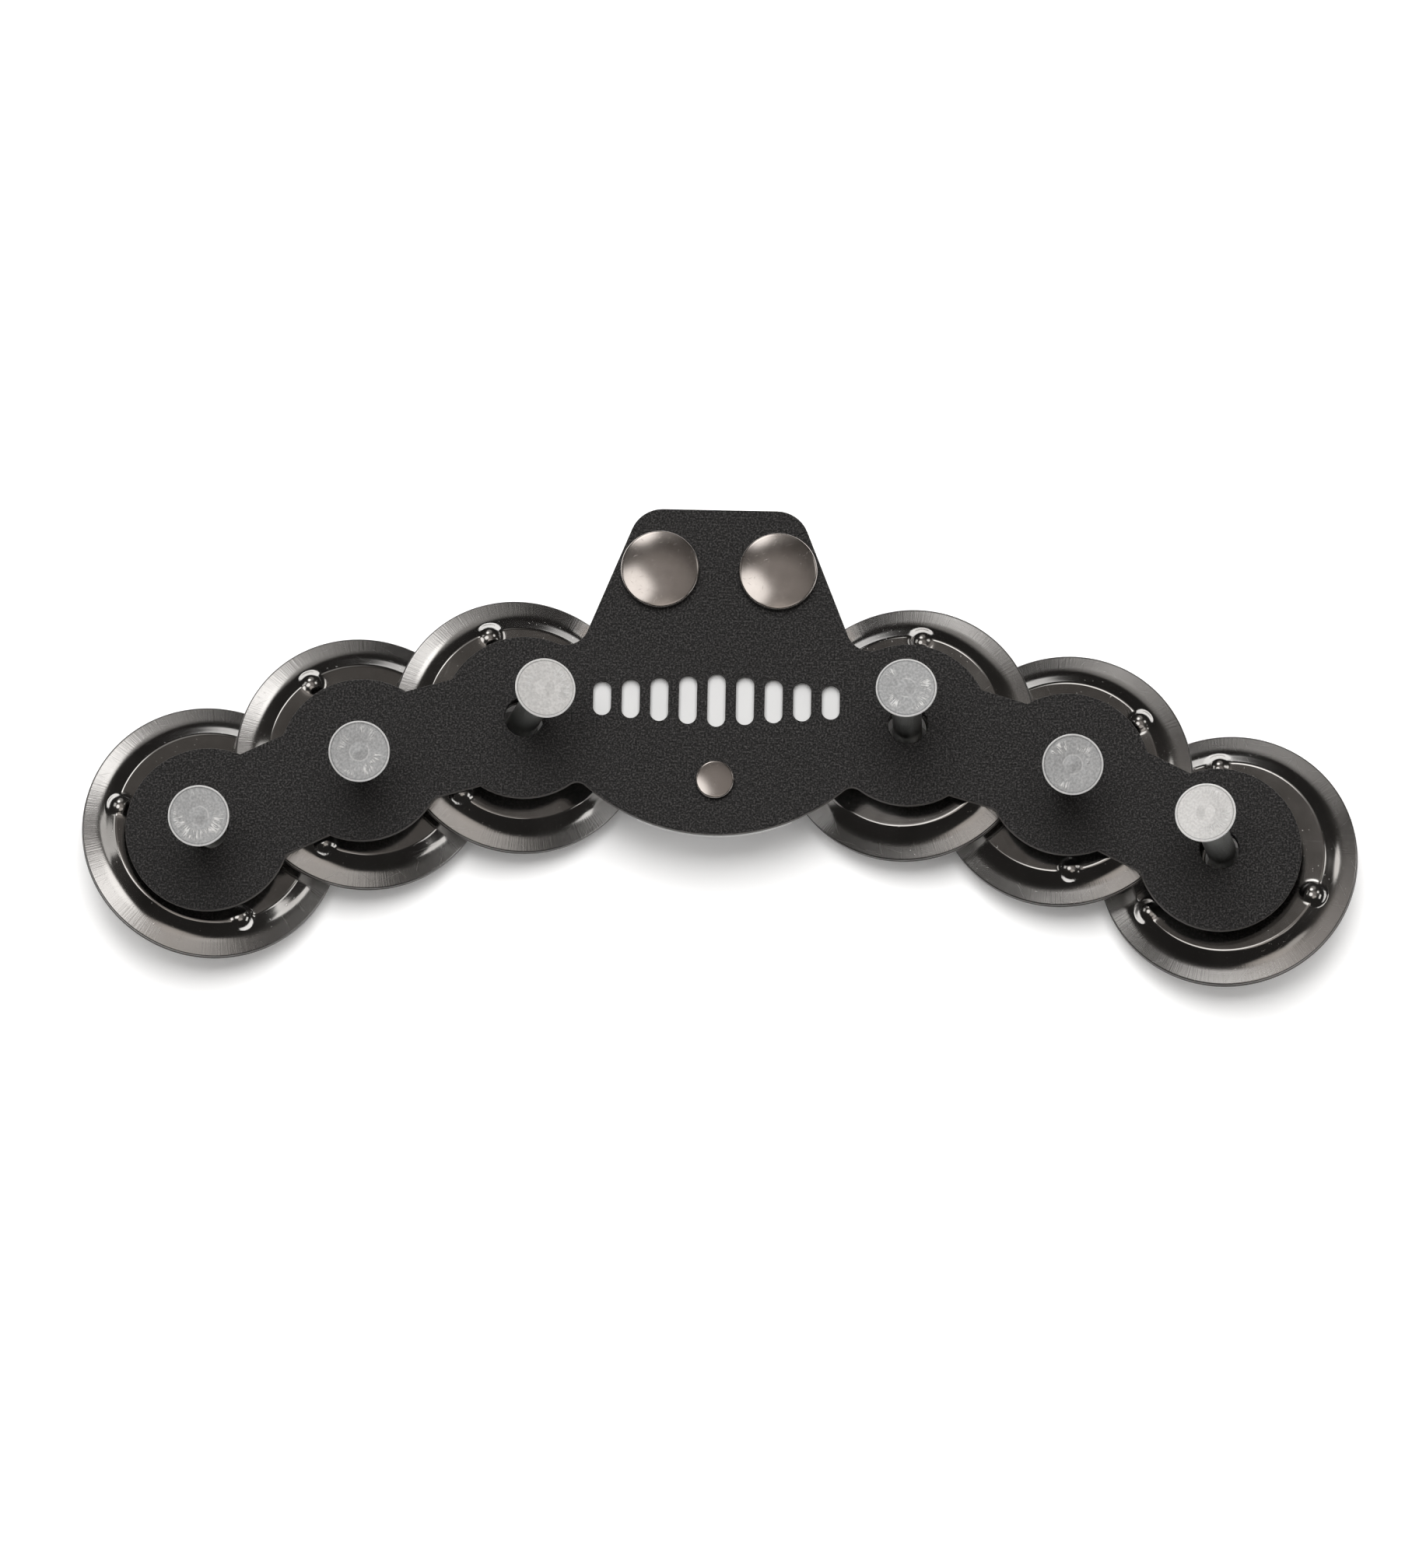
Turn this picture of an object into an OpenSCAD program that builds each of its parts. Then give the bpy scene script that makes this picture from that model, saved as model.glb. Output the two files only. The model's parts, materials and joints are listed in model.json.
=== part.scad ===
// Jingle shaker: a flat arched plate with six loose pins. Each pin carries a nested
// pair of stamped jingles, and the tab has two press studs with sockets at the rear.
// It lies face up on a table: X along its length, Y toward the tab, Z up.

/* [Plate] */
// Thickness of the plate
plate_t = 1.5; // [1.2:0.1:2]
// Radius of the arc that the six pin stations lie on
arc_r = 163; // [150:1:180]
// Distance between the two inner pin stations
inner_span = 63.8; // [62.8:0.1:66]
// Radius of the round lobe at each pin station
lobe_r = 13.65; // [12.5:0.05:14.5]
// Width of the necks between lobes
neck_w = 18.6; // [16:0.2:21]
// Clearance hole for each pin
pin_hole_d = 6.6; // [6.6:0.1:7.4]
// Radius of the belly's lower edge
belly_r = 33; // [31:0.5:36]
// Drop from the inner pin stations to the bottom of the belly
belly_drop = 19.2; // [18:0.1:20.5]

/* [Tab] */
// Height of the tab's top edge above the inner pin stations
tab_top = 36; // [34:0.1:38]
// Width of the tab at the press studs
tab_w = 35; // [33.6:0.1:37]
// Sideways run of the tab's edges for each millimetre down
tab_flare = 0.4; // [0.36:0.01:0.46]
// Radius of the tab's top corners
tab_corner_r = 5.5; // [4:0.1:6.5]

/* [Cut-outs] */
// Number of slots in the row
slot_count = 9; // [5:2:9]
// Width of each slot
slot_w = 3; // [2:0.1:3.2]
// Height of the tallest slot
slot_h = 9.2; // [8:0.1:10]
// Height lost from one slot to the next, away from the middle
slot_fall = 0.8; // [0:0.1:1]

/* [Jingles] */
// Outer diameter of a jingle
jingle_d = 43.2; // [42:0.1:43.4]
// Thickness of the jingle sheet
sheet_t = 0.45; // [0.35:0.05:0.5]
// Height from the lip to the crown
jingle_h = 2.3; // [2:0.05:2.5]
// Hole for the pin
jingle_hole_d = 7.2; // [7:0.1:7.6]
// Height of the three bumps on the crown
bump_h = 0.8; // [0.5:0.05:0.9]
// Width of a bump where it leaves the crown
bump_w = 5; // [4.4:0.1:5.6]
// Distance along the axis between the two jingles of a pair
pair_pitch = 1.05; // [1:0.05:1.2]

/* [Pins] */
// Diameter of a pin's shank
pin_d = 4.9; // [4.5:0.1:4.9]
// Diameter of a pin's flat head
pin_head_d = 10; // [9:0.1:11]
// Thickness of a pin's head
pin_head_t = 1.9; // [1.5:0.1:2.4]
// Height of the heads above the plate
pin_rise = 17.5; // [15:0.5:20]
// Diameter of the washer that each pin is clinched over
washer_d = 8; // [7.8:0.1:8.2]
// Room between a washer and the next station's jingles
washer_room = 2.3; // [2.1:0.1:3.5]

/* [Press studs and rivet] */
// Distance between the two press studs
stud_pitch = 19.7; // [18:0.1:20]
// Height of the press studs above the inner pin stations
stud_y = 25.4; // [24:0.1:26]
// Diameter of a press-stud cap
cap_d = 13.1; // [12:0.1:13.4]
// Height of a press-stud cap
cap_h = 2.1; // [1.6:0.1:2.6]
// Diameter of the socket's bore
socket_bore_d = 5.8; // [5:0.1:6]
// Diameter of the small rivet's caps
rivet_d = 6.4; // [5.6:0.1:7.2]
// Drop from the inner pin stations to the small rivet
rivet_drop = 10.1; // [9:0.1:11]

/* [Hidden] */
$fn = 64;
FINE = 128;
COARSE = 32;
PLATE_COLOR = "#333231";
PANEL_COLOR = "#e6e4e0";
NICKEL_COLOR = "#8d857f";
ZINC_COLOR = "#a8a8a6";
STEEL_COLOR = "#b9b8b6";

// Stations: left to right, with the arc's top at the two inner stations
SIDES = [-1, -1, -1, 1, 1, 1];
RANKS = [2, 1, 0, 0, 1, 2];
STATIONS = [0:5];
station_pitch = jingle_d / 2 + washer_d / 2 + washer_room;
first_angle = asin(inner_span / 2 / arc_r);
step_angle = 2 * asin(station_pitch / 2 / arc_r);
function station_angle(i) = SIDES[i] * (first_angle + RANKS[i] * step_angle);
function station(i) = arc_r * [sin(station_angle(i)), cos(station_angle(i)) - cos(first_angle)];
function outward(i) = SIDES[i] * [cos(station_angle(i)), -sin(station_angle(i))];

// Rest pose: how far each head leans from above its hole, how far each pin stands off
// the middle of its hole, how far each pair hangs off its pin, and where a bump points
HEAD_LEAN = [[-0.1, -1.4], [0.3, -2.1], [3.4, 1.1], [-0.8, 2.1], [-0.1, -1.8], [-3.9, 2.4]];
PIN_SHIFT = [[0, 0.4], [0.3, 0.1], [0.4, 0.2], [-0.1, 0.4], [-0.3, 0], [0.2, 0.35]];
PAIR_SHIFT = [[0.3, 0.4], [0.1, 0.3], [0.3, 0.3], [-0.3, 0.4], [-0.4, 0], [0.2, 0.4]];
BUMP_ANGLE = [49, 6.6, -8.6, -38.7, 35.5, -25];

// Jingle profile, measured from the crown's top surface
jingle_r = jingle_d / 2;
hole_r = jingle_hole_d / 2;
CREASE_SHARE = 0.74;
BUMP_SHARE = 0.745;
crease_r = CREASE_SHARE * jingle_r;
bump_at = BUMP_SHARE * jingle_r;
bump_ball_r = (pow(bump_w / 2, 2) + pow(bump_h, 2)) / (2 * bump_h);
bump_ball_z = bump_h - bump_ball_r;
BUMPS = 3;
lip_w = jingle_r - crease_r;
// Points along the crown, shoulder and lip, as shares of the lip's width and the height
SHOULDER = [[-0.1, 0], [0, 0.055], [0.08, 0.18], [0.2, 0.4], [0.34, 0.595], [0.48, 0.745],
            [0.64, 0.86], [0.82, 0.946], [1, 1]];
function top_line() = concat([[hole_r, 0]],
    [for (p = SHOULDER) [crease_r + p[0] * lip_w, -p[1] * jingle_h]]);
function lowered(line, by) = [for (p = line) [p[0], p[1] - by]];
function backwards(line) = [for (k = [len(line) - 1:-1:0]) line[k]];

// Shingled rest pose: each inner pair lies on the next outer one
clap_down = 0.3;
shingle_gap = 1.0;
plate_gap = 0.33;
shingle_rise = jingle_h + sheet_t + pair_pitch + clap_down + bump_h + shingle_gap;
tilt = asin(shingle_rise / station_pitch);
crown_depth = plate_t + plate_gap + bump_at * sin(tilt) + bump_ball_z * cos(tilt) + bump_ball_r;
pair_t = pair_pitch + sheet_t;
plate_z = crown_depth + (pair_pitch + jingle_h + sheet_t) * cos(tilt) + jingle_r * sin(tilt);

// Pins: a point on a pin's axis at a depth below the plate's top
function pin_slope(i) = HEAD_LEAN[i] / pin_rise;
function pin_point(i, depth) = concat(
    station(i) + PIN_SHIFT[i] + pin_slope(i) * (plate_t / 2 - depth), -depth);
function pin_lean(i) = atan(norm(pin_slope(i)));
function pin_heading(i) = atan2(pin_slope(i)[1], pin_slope(i)[0]);
washer_t = 1;
clinch_t = 0.6;
clinch_d = 6.4;
head_chamfer = 0.4;
mark_r = 1.6;
mark_w = 0.3;
mark_t = 0.1;
fit_gap = 0.1;
function pin_end_depth(i) = plate_z - clinch_d / 2 * sin(pin_lean(i));
function pin_length(i) = (pin_rise + pin_end_depth(i)) / cos(pin_lean(i));

// Jingle axes: tilted along the arc, so that the outer edge is up
function pair_heading(i) = atan2(-outward(i)[1], -outward(i)[0]);
function pair_axis(i) = concat(-sin(tilt) * outward(i), cos(tilt));
function crown_centre(i) = let (mid = crown_depth + pair_t / 2, p = pin_point(i, mid))
    [p[0] + PAIR_SHIFT[i][0], p[1] + PAIR_SHIFT[i][1], -crown_depth - pair_t / 2 * cos(tilt)]
    + pair_t / 2 * pair_axis(i);

// Middle of the outline, which is the origin
lip_depth = pair_pitch + jingle_h + sheet_t;
function rim_reach(i, k, way) = crown_centre(i)[k] - lip_depth * pair_axis(i)[k]
    + way * jingle_r * sqrt(1 - pow(pair_axis(i)[k], 2));
middle_x = (rim_reach(0, 0, -1) + rim_reach(5, 0, 1)) / 2;
middle_y = (min(rim_reach(0, 1, -1), rim_reach(5, 1, -1)) + tab_top) / 2;

// Tab outline
tab_slant = atan(tab_flare);
function tab_half(y) = tab_w / 2 + (stud_y - y) * tab_flare;
fillet_r = 4;
notch_r = 2;
belly_half = 24;
belly_y = belly_r - belly_drop;
overlap = 1;

// Panel behind the cut-outs
panel_t = 1.2;
panel_inset = 1;
panel_w = 46.8;
panel_tongue_w = 25.6;
slot_y = 3.6;
panel_band_h = 15;
MOST_SLOTS = 9;
slot_margin = 2;
slot_pitch = (panel_w - 2 * slot_margin) / MOST_SLOTS;

// Press studs and rivet
post_d = 3;
rim_t = 0.5;
socket_flange_d = 11.4;
socket_flange_t = 0.7;
socket_d = 9;
socket_h = 3.8;
socket_floor = 1;
ring_wire_d = 0.6;
ring_r = socket_bore_d / 2 + ring_wire_d / 2 + fit_gap / 2;
rivet_post_d = 2.6;
rivet_cap_h = 1.3;
rivet_back_h = 0.9;
under = 0.01;

// Places the part with its origin under the middle of its outline, on the table
module placed() {
    translate([-middle_x, -middle_y, plate_z]) children();
}

// Points where two circles meet, the one on the given side of the line between them
function circle_meet(a, ra, b, rb, side) =
    let (d = norm(b - a), u = (b - a) / d, x = (d * d + ra * ra - rb * rb) / (2 * d))
    a + x * u + side * sqrt(ra * ra - x * x) * [-u[1], u[0]];

// A concave fillet between two touching points p and q, around the centre c
module fillet(p, q, c, r, inside) {
    difference() {
        polygon([p, c, q, inside]);
        translate(c) circle(r + under);
    }
}

// Tab outline, drawn in by an inset: a trapezoid with its two top corners rounded
module tab_outline(inset) {
    top = tab_top - inset;
    r = tab_corner_r - inset;
    shift = inset / cos(tab_slant);
    c = [tab_half(top - r) - shift - r / cos(tab_slant), top - r];
    edge = c + r * [cos(tab_slant), sin(tab_slant)];
    foot = [tab_half(0) - shift, 0];
    polygon([[-c[0], top], [c[0], top], c, edge, foot,
             [-foot[0], 0], [-edge[0], edge[1]], [-c[0], c[1]]]);
    for (side = [0, 1]) mirror([side, 0]) intersection() {
        translate(c) circle(r);
        polygon([c, [c[0], top + r], [edge[0] + r, top + r], 2 * edge - c]);
    }
}

// Belly: the lower part of a large circle, cut to a width
module belly_outline(half) {
    intersection() {
        translate([0, belly_y]) circle(belly_r, $fn = FINE);
        translate([-half, -belly_drop - overlap])
            square([2 * half, belly_drop + overlap + slot_y]);
    }
}

// Fillets where the tab and the belly run into one inner lobe, on the right
module inner_fillets() {
    lobe = station(3);
    normal = [cos(tab_slant), sin(tab_slant)];
    along = [-sin(tab_slant), cos(tab_slant)];
    on_edge = [tab_half(stud_y), stud_y];
    offset_to_lobe = (on_edge + fillet_r * normal - lobe) * normal;
    c = lobe + offset_to_lobe * normal
        + sqrt(pow(lobe_r + fillet_r, 2) - pow(offset_to_lobe, 2)) * along;
    fillet(c - fillet_r * normal, lobe + (c - lobe) * lobe_r / (lobe_r + fillet_r), c,
           fillet_r, [tab_half(slot_y) - overlap, slot_y]);
    belly = [0, belly_y];
    d = circle_meet(belly, belly_r + notch_r, lobe, lobe_r + notch_r, -1);
    fillet(belly + (d - belly) * belly_r / (belly_r + notch_r),
           lobe + (d - lobe) * lobe_r / (lobe_r + notch_r), d, notch_r, [tab_half(0) - overlap, 0]);
}

// The six lobes and the necks between them
module chain_outline() {
    for (i = STATIONS) translate(station(i)) circle(lobe_r, $fn = FINE);
    for (i = [0:4]) {
        run = station(i + 1) - station(i);
        translate(station(i)) rotate(atan2(run[1], run[0]))
            translate([0, -neck_w / 2]) square([norm(run), neck_w]);
    }
}

// One slot with round ends
module slot(h) {
    run = (h - slot_w) / 2;
    for (side = [-1, 1]) translate([0, side * run]) circle(slot_w / 2, $fn = COARSE);
    square([slot_w, 2 * run], center = true);
}

module slot_row() {
    last = (slot_count - 1) / 2;
    for (k = [-last:last])
        translate([k * slot_pitch, slot_y]) slot(slot_h - abs(k) * slot_fall);
}

module fastener_holes() {
    for (side = [-1, 1])
        translate([side * stud_pitch / 2, stud_y]) circle(post_d / 2 + fit_gap);
    translate([0, -rivet_drop]) circle(rivet_post_d / 2 + fit_gap);
}

module front_plate() {
    color(PLATE_COLOR) placed() translate([0, 0, -plate_t]) difference() {
        union() {
            linear_extrude(plate_t) chain_outline();
            linear_extrude(plate_t) belly_outline(belly_half);
            linear_extrude(plate_t) tab_outline(0);
            linear_extrude(plate_t) inner_fillets();
            linear_extrude(plate_t) mirror([1, 0]) inner_fillets();
        }
        translate([0, 0, -under]) linear_extrude(plate_t + 2 * under) {
            for (i = STATIONS) translate(station(i)) circle(pin_hole_d / 2);
            slot_row();
            fastener_holes();
        }
    }
}

module backing_panel() {
    color(PANEL_COLOR) placed() translate([0, 0, -plate_t - panel_t]) difference() {
        union() {
            linear_extrude(panel_t) tab_outline(panel_inset);
            linear_extrude(panel_t) belly_outline(panel_tongue_w / 2);
            linear_extrude(panel_t) translate([0, slot_y])
                square([panel_w, panel_band_h], center = true);
        }
        translate([0, 0, -under]) linear_extrude(panel_t + 2 * under) fastener_holes();
    }
}

// Low domed cap with a rolled rim and a post, standing on the plate's top
module domed_cap(d, h, post, post_h) {
    r = d / 2;
    crown = r - rim_t;
    dome_h = h - rim_t;
    dome_r = (crown * crown + dome_h * dome_h) / (2 * dome_h);
    translate([0, 0, rim_t]) intersection() {
        translate([0, 0, dome_h - dome_r]) sphere(dome_r, $fn = FINE);
        cylinder(r = crown, h = dome_h + under);
    }
    rotate_extrude() union() {
        square([crown, rim_t]);
        translate([crown, rim_t / 2]) square(rim_t, center = true);
        translate([crown + rim_t / 2, rim_t / 2]) circle(rim_t / 2, $fn = COARSE);
    }
    translate([0, 0, -post_h]) cylinder(d = post, h = post_h + under);
}

module stud_cap(side) {
    reach = plate_t + panel_t + socket_floor;
    color(NICKEL_COLOR) placed() translate([side * stud_pitch / 2, stud_y, 0])
        domed_cap(cap_d, cap_h, post_d, reach);
}

// Rear half of a press stud: a flanged cup with a groove for its spring ring
module stud_socket(side) {
    bore_r = socket_bore_d / 2;
    mouth = -socket_h;
    groove_z = -(socket_h + socket_floor) / 2;
    groove_h = ring_wire_d + 2 * fit_gap;
    color(NICKEL_COLOR) placed() translate([side * stud_pitch / 2, stud_y, -plate_t - panel_t])
        difference() {
            union() {
                translate([0, 0, -socket_flange_t])
                    cylinder(d = socket_flange_d, h = socket_flange_t);
                translate([0, 0, mouth]) cylinder(d = socket_d, h = socket_h);
            }
            translate([0, 0, mouth - under])
                cylinder(r = bore_r, h = socket_h - socket_floor + under);
            translate([0, 0, groove_z - groove_h / 2])
                cylinder(r = ring_r + ring_wire_d / 2 + fit_gap, h = groove_h);
            translate([0, 0, mouth]) cylinder(r = post_d / 2 + fit_gap / 2, h = socket_h + under);
        }
}

module socket_ring(side) {
    groove_z = -(socket_h + socket_floor) / 2;
    color(STEEL_COLOR) placed()
        translate([side * stud_pitch / 2, stud_y, -plate_t - panel_t + groove_z])
        rotate_extrude() translate([ring_r, 0]) circle(d = ring_wire_d, $fn = COARSE);
}

module rivet_cap() {
    color(NICKEL_COLOR) placed() translate([0, -rivet_drop, 0])
        domed_cap(rivet_d, rivet_cap_h, rivet_post_d, plate_t + panel_t + rivet_back_h / 2);
}

module rivet_back() {
    color(NICKEL_COLOR) placed()
        translate([0, -rivet_drop, -plate_t - panel_t - rivet_back_h])
        difference() {
            cylinder(d = rivet_d, h = rivet_back_h);
            translate([0, 0, rivet_back_h / 2])
                cylinder(r = rivet_post_d / 2 + fit_gap / 2, h = rivet_back_h);
        }
}

// Places children on a pin's own axis, with its lower end at zero
module on_pin(i) {
    placed() translate(pin_point(i, pin_end_depth(i)))
        rotate([0, pin_lean(i), pin_heading(i)]) children();
}

// Pin with a flat head that has a turned ring mark, clinched at its foot
module pin(i) {
    length = pin_length(i);
    head_r = pin_head_d / 2;
    color(ZINC_COLOR) on_pin(i) rotate_extrude() polygon([[0, 0], [clinch_d / 2 - head_chamfer, 0],
        [clinch_d / 2, head_chamfer], [clinch_d / 2, clinch_t], [pin_d / 2, clinch_t],
        [pin_d / 2, length - pin_head_t], [head_r, length - pin_head_t],
        [head_r, length - head_chamfer], [head_r - head_chamfer, length],
        [mark_r + mark_w / 2, length], [mark_r, length - mark_t], [mark_r - mark_w / 2, length],
        [0, length]]);
}

module pin_washer(i) {
    color(ZINC_COLOR) on_pin(i) translate([0, 0, clinch_t]) difference() {
        cylinder(d = washer_d, h = washer_t);
        translate([0, 0, -under]) cylinder(r = pin_d / 2 + fit_gap / 2, h = washer_t + 2 * under);
    }
}

// Stamped jingle: crown with three hollow bumps, shoulder and flared lip
module jingle() {
    top = top_line();
    bottom = lowered(top, sheet_t);
    deep = [[jingle_r, -jingle_r], [hole_r, -jingle_r]];
    difference() {
        union() {
            rotate_extrude($fn = FINE) polygon(concat(top, backwards(bottom)));
            difference() {
                bump_balls();
                rotate_extrude($fn = FINE) polygon(concat(bottom, deep));
            }
        }
        translate([0, 0, -sheet_t]) bump_balls();
    }
}

module bump_balls() {
    for (k = [0:BUMPS - 1]) rotate(k * 360 / BUMPS)
        translate([bump_at, 0, bump_ball_z]) sphere(bump_ball_r);
}

// Places children on the axis of a pair, with the front crown at zero
module on_pair(i) {
    placed() translate(crown_centre(i)) rotate([0, tilt, pair_heading(i)])
        rotate(BUMP_ANGLE[i] - pair_heading(i)) children();
}

module front_jingle(i) {
    color(STEEL_COLOR) on_pair(i) jingle();
}

module rear_jingle(i) {
    color(STEEL_COLOR) on_pair(i) translate([0, 0, -pair_pitch]) jingle();
}

front_plate();
backing_panel();
stud_cap(-1);  // left_stud_cap
stud_cap(1);  // right_stud_cap
stud_socket(-1);  // left_stud_socket
stud_socket(1);  // right_stud_socket
socket_ring(-1);  // left_socket_ring
socket_ring(1);  // right_socket_ring
rivet_cap();
rivet_back();
for (i = STATIONS) {
    pin(i);
    pin_washer(i);
    front_jingle(i);
    rear_jingle(i);
}
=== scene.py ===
"""Looks for the jingle shaker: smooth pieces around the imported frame, materials, light, camera."""

import json
import math
import random

import bpy
import numpy as np
from mathutils import Matrix, Vector


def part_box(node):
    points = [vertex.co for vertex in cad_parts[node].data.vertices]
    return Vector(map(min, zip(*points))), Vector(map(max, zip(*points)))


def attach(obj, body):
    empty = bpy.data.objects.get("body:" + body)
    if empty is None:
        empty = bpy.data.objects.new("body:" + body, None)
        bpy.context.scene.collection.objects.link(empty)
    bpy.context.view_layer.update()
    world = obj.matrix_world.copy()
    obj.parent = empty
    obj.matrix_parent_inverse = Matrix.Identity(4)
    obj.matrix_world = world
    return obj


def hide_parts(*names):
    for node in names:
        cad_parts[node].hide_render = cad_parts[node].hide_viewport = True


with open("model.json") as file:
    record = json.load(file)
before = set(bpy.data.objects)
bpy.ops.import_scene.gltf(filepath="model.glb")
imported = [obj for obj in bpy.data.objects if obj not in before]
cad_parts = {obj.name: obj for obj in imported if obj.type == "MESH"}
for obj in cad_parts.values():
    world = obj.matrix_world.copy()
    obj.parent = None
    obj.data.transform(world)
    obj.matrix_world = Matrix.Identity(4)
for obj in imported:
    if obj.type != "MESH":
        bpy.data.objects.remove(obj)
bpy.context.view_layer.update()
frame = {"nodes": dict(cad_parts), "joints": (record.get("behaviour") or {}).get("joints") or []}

MM = 0.001
STATIONS = range(1, 7)
JOINTS = {joint["name"]: joint for joint in frame["joints"]}

# Sizes that the frame doesn't give, in millimetres
PLATE_EDGE = 0.14        # rounding of the plate's cut edges
PANEL_EDGE = 0.1
SHEET = 0.45             # jingle sheet
SHEET_EDGE = 0.08        # rounding of a jingle's rim and hole
CROWN_DROP = 0.8         # from the top of a node's bumps to its crown
BUMP_HEIGHT = 0.7
BUMP_BALL = 2.6          # radius of a bump's top
BUMP_BLEND = 0.2         # softness of the line where a bump leaves the crown
BUMP_FALL = 4            # drop of a bump's ball for each radius beyond its edge
DENT = 0.05              # waviness of the stamped sheet
DENT_FADE = 1.5          # distance from the rim over which the waviness fades
LIP = 18.2, 19.8         # from the axis: where a jingle's brushed lip, drawn lighter as painted sheen, begins and is full
CUT = 21.42, 21.5        # and where the dark cut edge at its rim begins and is full
SHANK = 4.9              # diameter of a pin's shank
HEAD_THICK = 1.9
HEAD_EDGE = 0.16         # rounding of a head's upper edge
HEAD_TRIM = 0.08         # how much lower a head's face is, so that leaning heads stay in the box
HEAD_TAPER = 0.7         # how much narrower a head is underneath
HEAD_UNDER = 0.15        # rounding of its lower edge
NECK = 0.3               # rounding between shank and head
CLINCH = 6.4             # diameter of a pin's clinched foot
CLINCH_THICK = 0.6
CLINCH_EDGE = 0.4        # rounding of its lower edge
RING = 1.6               # radius of the turned ring on a head
PIP = 0.35               # radius of the mark at a head's centre
CAP_ROLL = 0.32          # radius of a cap's rolled edge
FLOOR_HALF = 900         # half the floor's width
FLOOR_FADE = 450, 850    # distances from the middle between which the floor thins out

# Counts, shares and powers
BUMPS = 3                # on each jingle
WAVES = 7                # waves that make up the waviness of a jingle
CREASE_SHARE = 0.76      # crease and bumps, as shares of a jingle's radius
BUMP_SHARE = 0.726
FLAT_SHARE = 0.6         # part of the radius that needs few rows of points
FLAT_ROWS = 10
OUTER_ROWS = 42
BALL_LIMIT = 0.002       # least value under the root that shapes a bump
CAP_RISE = 0.09          # rise of a stud cap's dome, as a share of its radius
RIVET_RISE = 0.05
CAP_FLATNESS = 2.2       # power of a cap's curve: 2 is a plain dome, more is flatter on top
CAP_STEPS = 28           # steps along that curve
FLOOR_GLOW = 0.27        # what the floor adds to its lit colour where it is seen
OWN_STEP = 0.1           # metres between the marks of one piece and the next
PIN_TURN = 2.1           # radians between the marks of one pin and the next
JINGLE_POINTS = {"front": 288, "rear": 180}    # points around a jingle
PIN_POINTS = 96
CAP_POINTS = 128

# Points down a jingle's shoulder: shares of the lip's width and of the jingle's height
SHOULDER = [(-0.035, 0), (0, 0.018), (0.035, 0.066), (0.2, 0.29), (0.34, 0.475), (0.44, 0.585),
            (0.54, 0.672), (0.7, 0.785), (0.85, 0.893), (1, 1)]

# Dark of the room, and pale patches in it: bearing, elevation, the angles within which a patch is
# full and beyond which it is gone, all in degrees, and its colour
DARK = (0.022, 0.021, 0.02)
PATCHES = [(92, 42, 6, 22, (0.3, 0.29, 0.28)), (-80, 72, 6, 14, (0.55, 0.51, 0.475)),
           (-45, 67, 3, 9, (0.6, 0.575, 0.55)), (28, 50, 5, 10, (1.2, 1.18, 1.15)),
           (108, 50, 4, 12, (2.0, 1.97, 1.94)), (178, 73, 9, 15, (1.5, 1.47, 1.44))]


# Meshes
def new_object(name, verts, faces, origin=(0, 0, 0), turn=np.eye(3), number=0, sharp_angle=40):
    """An object from vertices in millimetres, turned and moved to its place.

    It is smooth shaded apart from its sharp edges, and keeps its own coordinates in the attribute
    "own" for its material. The number sets them apart, so that no two pieces are marked alike.
    """
    own = np.array(verts) * MM
    mesh = bpy.data.meshes.new(name)
    mesh.from_pydata(own @ np.array(turn).T + np.array(origin) * MM, [], faces)
    mesh.update()
    mesh.polygons.foreach_set("use_smooth", [True] * len(mesh.polygons))
    mesh.set_sharp_from_angle(angle=math.radians(sharp_angle))
    own[:, 2] += number * OWN_STEP
    mesh.attributes.new("own", "FLOAT_VECTOR", "POINT").data.foreach_set("vector", own.ravel())
    piece = bpy.data.objects.new(name, mesh)
    bpy.context.scene.collection.objects.link(piece)
    return piece


def lathe(name, profile, segments, **place):
    """A solid of revolution about Z from (radius, height) points; the ends lie on the axis."""
    ring = profile[1:-1]
    turns = [(math.cos(2 * math.pi * k / segments), math.sin(2 * math.pi * k / segments))
             for k in range(segments)]
    verts = [(r * c, r * s, z) for r, z in ring for c, s in turns]
    low, high = len(verts), len(verts) + 1
    verts += [(0, 0, profile[0][1]), (0, 0, profile[-1][1])]
    faces = []
    last = (len(ring) - 1) * segments
    for k in range(segments):
        n = (k + 1) % segments
        faces.append((low, n, k))
        faces.append((high, last + k, last + n))
        for row in range(0, last, segments):
            faces.append((row + k, row + n, row + segments + n, row + segments + k))
    return new_object(name, verts, faces, **place)


def arc(centre, radius, start, end, steps):
    """Points on an arc from start to end degrees."""
    turns = [math.radians(start + (end - start) * k / steps) for k in range(steps + 1)]
    return [(centre[0] + radius * math.cos(t), centre[1] + radius * math.sin(t)) for t in turns]


def node_points(name):
    """A node's vertices in the shared frame, in millimetres."""
    mesh = frame["nodes"][name].data
    flat = np.zeros(3 * len(mesh.vertices))
    mesh.vertices.foreach_get("co", flat)
    return flat.reshape(-1, 3) / MM


def upright(axis, toward):
    """A rotation whose Z is the axis, with X as near to another direction as it can be."""
    z = Vector(axis).normalized()
    y = z.cross(Vector(toward)).normalized()
    return Matrix((y.cross(z), y, z)).transposed()


def dress(piece, material, body, slot, *nodes):
    """Gives a piece its material and its body, and hides the nodes it stands for; the slot is not
    used.
    """
    piece.data.materials.clear()
    piece.data.materials.append(material)
    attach(piece, body)
    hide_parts(*nodes)


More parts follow.
